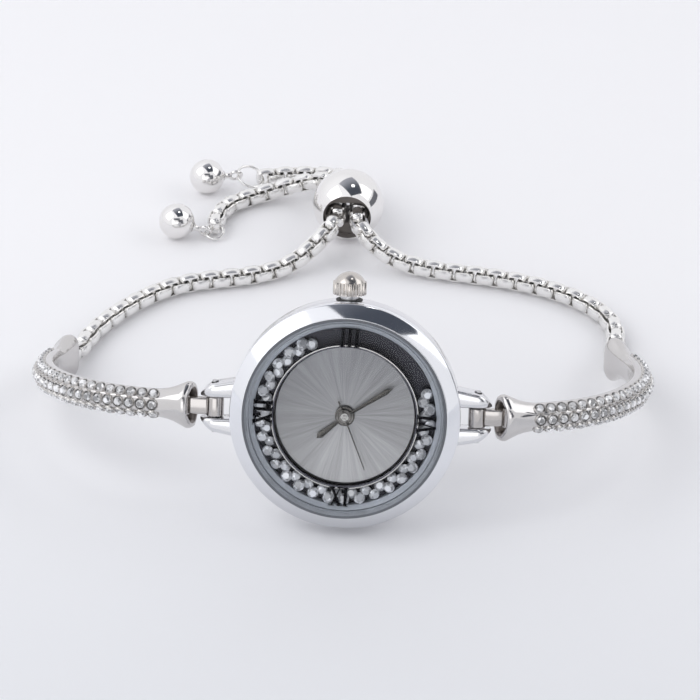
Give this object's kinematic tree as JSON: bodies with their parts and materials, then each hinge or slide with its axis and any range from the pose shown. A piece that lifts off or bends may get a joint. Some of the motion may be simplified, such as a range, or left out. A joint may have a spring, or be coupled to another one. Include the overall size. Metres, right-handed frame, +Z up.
{
  "type": "bracelet watch",
  "caption": "Ladies' quartz bracelet watch: round case with loose stones in a channel round the dial, curved stone-set bars and a box chain with a sliding bead.",
  "frame": {"origin": "on the surface, under the middle of the overall box, bracelet laid out behind the case", "axes": "+Z up from the surface, -Y towards the viewer of the dial, +X to the right of the dial as pictured (towards the side of VI); the crown points up and back"},
  "size_m": [0.0802, 0.0884, 0.0299],
  "materials": {
    "case": "polished",
    "bezel": "mirror polished",
    "glass": "clear",
    "black_rubber": "matte",
    "flange": "satin",
    "dark_mirror": "dark mirror",
    "clear_wall": "clear",
    "dial": "sunray brushed",
    "crystal": "faceted clear",
    "hands": "polished dark",
    "steel": "turned",
    "brass": "plain",
    "movement_plastic": "moulded",
    "copper_coil": "lacquered wire",
    "holder_plastic": "moulded",
    "back_steel": "brushed",
    "crown": "polished",
    "bracelet": "polished",
    "bead": "mirror polished",
    "chain": "polished"
  },
  "bodies": {
    "case": {"case_band": "case", "bezel": "bezel", "glass": "glass", "glass_gasket": "black_rubber", "channel_flange": "flange", "channel_floor": "dark_mirror", "channel_wall": "clear_wall", "dial_disc": "dial", "movement_holder": "holder_plastic", "movement_plate": "brass", "train_block": "movement_plastic", "battery": "steel", "battery_strap": "steel", "coil": "copper_coil", "caseback": "back_steel", "caseback_gasket": "black_rubber", "crown_tube": "steel", "spring_bars": "steel"},
    "clutch": {"clutch_wheel": "steel"},
    "crown_and_stem": {"crown": "crown", "stem": "steel", "crown_gasket": "black_rubber"},
    "minute": {"minute_hand": "hands", "cannon_pinion": "brass"},
    "hour": {"hour_hand": "hands", "hour_wheel": "brass"},
    "second": {"second_hand": "hands", "second_arbor": "steel"},
    "minute_wheel": {"minute_wheel": "brass"},
    "crystals": {"loose_crystals": "crystal"},
    "slider": {"slider_bead": "bead", "slider_insert": "black_rubber"},
    "tail_near": {"tail_near": "chain"},
    "tail_far": {"tail_far": "chain"},
    "ring_near": {"ring_near": "chain"},
    "ring_far": {"ring_far": "chain"},
    "ball_near": {"ball_near": "bead"},
    "ball_far": {"ball_far": "bead"},
    "tongue_left": {"tongue_left": "bracelet"},
    "bar_left": {"stone_bar_left": "bracelet", "bar_stones_left": "crystal", "bar_pin_left": "steel", "chain_pin_left": "steel"},
    "chain_left_1": {"chain_left_1": "chain"},
    "chain_left_2": {"chain_left_2": "chain"},
    "chain_left_3": {"chain_left_3": "chain"},
    "tongue_right": {"tongue_right": "bracelet"},
    "bar_right": {"stone_bar_right": "bracelet", "bar_stones_right": "crystal", "bar_pin_right": "steel", "chain_pin_right": "steel"},
    "chain_right_1": {"chain_right_1": "chain"},
    "chain_right_2": {"chain_right_2": "chain"},
    "chain_right_3": {"chain_right_3": "chain"}
  },
  "joints": [
    {"name": "crown_turn", "type": "hinge", "parent": "case", "child": "clutch", "pos_m": [0.00138, -0.03576, 0.01353], "axis": [0, 0.3584, 0.9336], "continuous": true},
    {"name": "crown_pull", "type": "slide", "parent": "clutch", "child": "crown_and_stem", "axis": [0, 0.3584, 0.9336], "range_m": [0, 0.0007]},
    {"name": "minute_turn", "type": "hinge", "parent": "case", "child": "minute", "pos_m": [0.00138, -0.03978, 0.01507], "axis": [0, 0.9336, -0.3584], "continuous": true},
    {"name": "hour_turn", "type": "hinge", "parent": "case", "child": "hour", "pos_m": [0.00138, -0.03978, 0.01507], "axis": [0, 0.9336, -0.3584], "continuous": true},
    {"name": "second_turn", "type": "hinge", "parent": "case", "child": "second", "pos_m": [0.00138, -0.03978, 0.01507], "axis": [0, 0.9336, -0.3584], "continuous": true},
    {"name": "minute_wheel_turn", "type": "hinge", "parent": "case", "child": "minute_wheel", "pos_m": [0.00378, -0.03978, 0.01507], "axis": [0, 0.9336, -0.3584], "continuous": true},
    {"name": "crystals_roll", "type": "hinge", "parent": "case", "child": "crystals", "pos_m": [0.00138, -0.03978, 0.01507], "axis": [0, 0.9336, -0.3584], "continuous": true},
    {"name": "tongue_left_fold", "type": "hinge", "parent": "case", "child": "tongue_left", "pos_m": [-0.01462, -0.03576, 0.01353], "axis": [0, 0.3584, 0.9336], "range_deg": [-4, 4]},
    {"name": "bar_left_fold", "type": "hinge", "parent": "tongue_left", "child": "bar_left", "pos_m": [-0.01862, -0.03576, 0.01353], "axis": [0, 0.3584, 0.9336], "range_deg": [-8, 8]},
    {"name": "chain_left_1_fold", "type": "hinge", "parent": "bar_left", "child": "chain_left_1", "pos_m": [-0.03729, -0.01097, 0.003], "axis": [0, 0.3584, 0.9336], "range_deg": [-1.08, 1.08]},
    {"name": "chain_left_2_fold", "type": "hinge", "parent": "chain_left_1", "child": "chain_left_2", "pos_m": [-0.03138, 0.00366, 0.00141], "axis": [0, 0.3584, 0.9336], "range_deg": [-1.47, 1.47]},
    {"name": "chain_left_3_fold", "type": "hinge", "parent": "chain_left_2", "child": "chain_left_3", "pos_m": [-0.0181, 0.01266, 0.0014], "axis": [0, 0.3584, 0.9336], "range_deg": [-2.09, 2.09]},
    {"name": "tongue_right_fold", "type": "hinge", "parent": "case", "child": "tongue_right", "pos_m": [0.01738, -0.03576, 0.01353], "axis": [0, 0.3584, 0.9336], "range_deg": [-0.9, 0.9]},
    {"name": "bar_right_fold", "type": "hinge", "parent": "tongue_right", "child": "bar_right", "pos_m": [0.02137, -0.03563, 0.01348], "axis": [0, 0.3584, 0.9336], "range_deg": [-1.11, 1.11]},
    {"name": "chain_right_1_fold", "type": "hinge", "parent": "bar_right", "child": "chain_right_1", "pos_m": [0.03611, -0.00791, 0.00407], "axis": [0, 0.3584, 0.9336], "range_deg": [-2.58, 2.58]},
    {"name": "chain_right_2_fold", "type": "hinge", "parent": "chain_right_1", "child": "chain_right_2", "pos_m": [0.03374, 0.00857, 0.0014], "axis": [0, 0.3584, 0.9336], "range_deg": [-0.14, 0.14]},
    {"name": "chain_right_3_fold", "type": "hinge", "parent": "chain_right_2", "child": "chain_right_3", "pos_m": [0.01921, 0.01576, 0.00141], "axis": [0, 0.3584, 0.9336], "range_deg": [-4.99, 4.99]},
    {"name": "slider_slide", "type": "slide", "parent": "chain_left_3", "child": "slider", "axis": [0, 1, 0], "range_m": [0, 0.0008]},
    {"name": "tail_near_swing", "type": "hinge", "parent": "chain_left_3", "child": "tail_near", "pos_m": [-0.0032, 0.03087, 0.00518], "axis": [0, 0, 1], "range_deg": [-5, 5]},
    {"name": "tail_far_swing", "type": "hinge", "parent": "chain_right_3", "child": "tail_far", "pos_m": [-0.00022, 0.03113, 0.00522], "axis": [0, 0, 1], "range_deg": [-5, 5]},
    {"name": "ring_near_swing", "type": "hinge", "parent": "tail_near", "child": "ring_near", "pos_m": [-0.02104, 0.02665, 0.0014], "axis": [1, 0, 0], "range_deg": [-5, 5]},
    {"name": "ring_far_swing", "type": "hinge", "parent": "tail_far", "child": "ring_far", "pos_m": [-0.01566, 0.04135, 0.00143], "axis": [0, 0, 1], "range_deg": [-5, 5]},
    {"name": "ball_near_swing", "type": "hinge", "parent": "ring_near", "child": "ball_near", "pos_m": [-0.0223, 0.0256, 0.00091], "axis": [0, 0, 1], "range_deg": [-8, 8]},
    {"name": "ball_far_swing", "type": "hinge", "parent": "ring_far", "child": "ball_far", "pos_m": [-0.01896, 0.04027, 0.00236], "axis": [0, 0, 1], "range_deg": [-8, 8]}
  ],
  "couplings": [
    {"joint": "hour_turn", "follows": "minute_turn", "ratio": 0.083333},
    {"joint": "second_turn", "follows": "minute_turn", "ratio": 60},
    {"joint": "minute_wheel_turn", "follows": "minute_turn", "ratio": -0.33333},
    {"joint": "tongue_left_fold", "follows": "bar_left_fold", "ratio": -0.49772},
    {"joint": "chain_left_1_fold", "follows": "bar_left_fold", "ratio": -0.13215},
    {"joint": "chain_left_2_fold", "follows": "bar_left_fold", "ratio": -0.18106},
    {"joint": "chain_left_3_fold", "follows": "bar_left_fold", "ratio": -0.25863},
    {"joint": "tongue_right_fold", "follows": "bar_left_fold", "ratio": 0.1098},
    {"joint": "bar_right_fold", "follows": "bar_left_fold", "ratio": 0.1366},
    {"joint": "chain_right_1_fold", "follows": "bar_left_fold", "ratio": 0.31959},
    {"joint": "chain_right_2_fold", "follows": "bar_left_fold", "ratio": -0.014717},
    {"joint": "chain_right_3_fold", "follows": "bar_left_fold", "ratio": -0.62083}
  ]
}
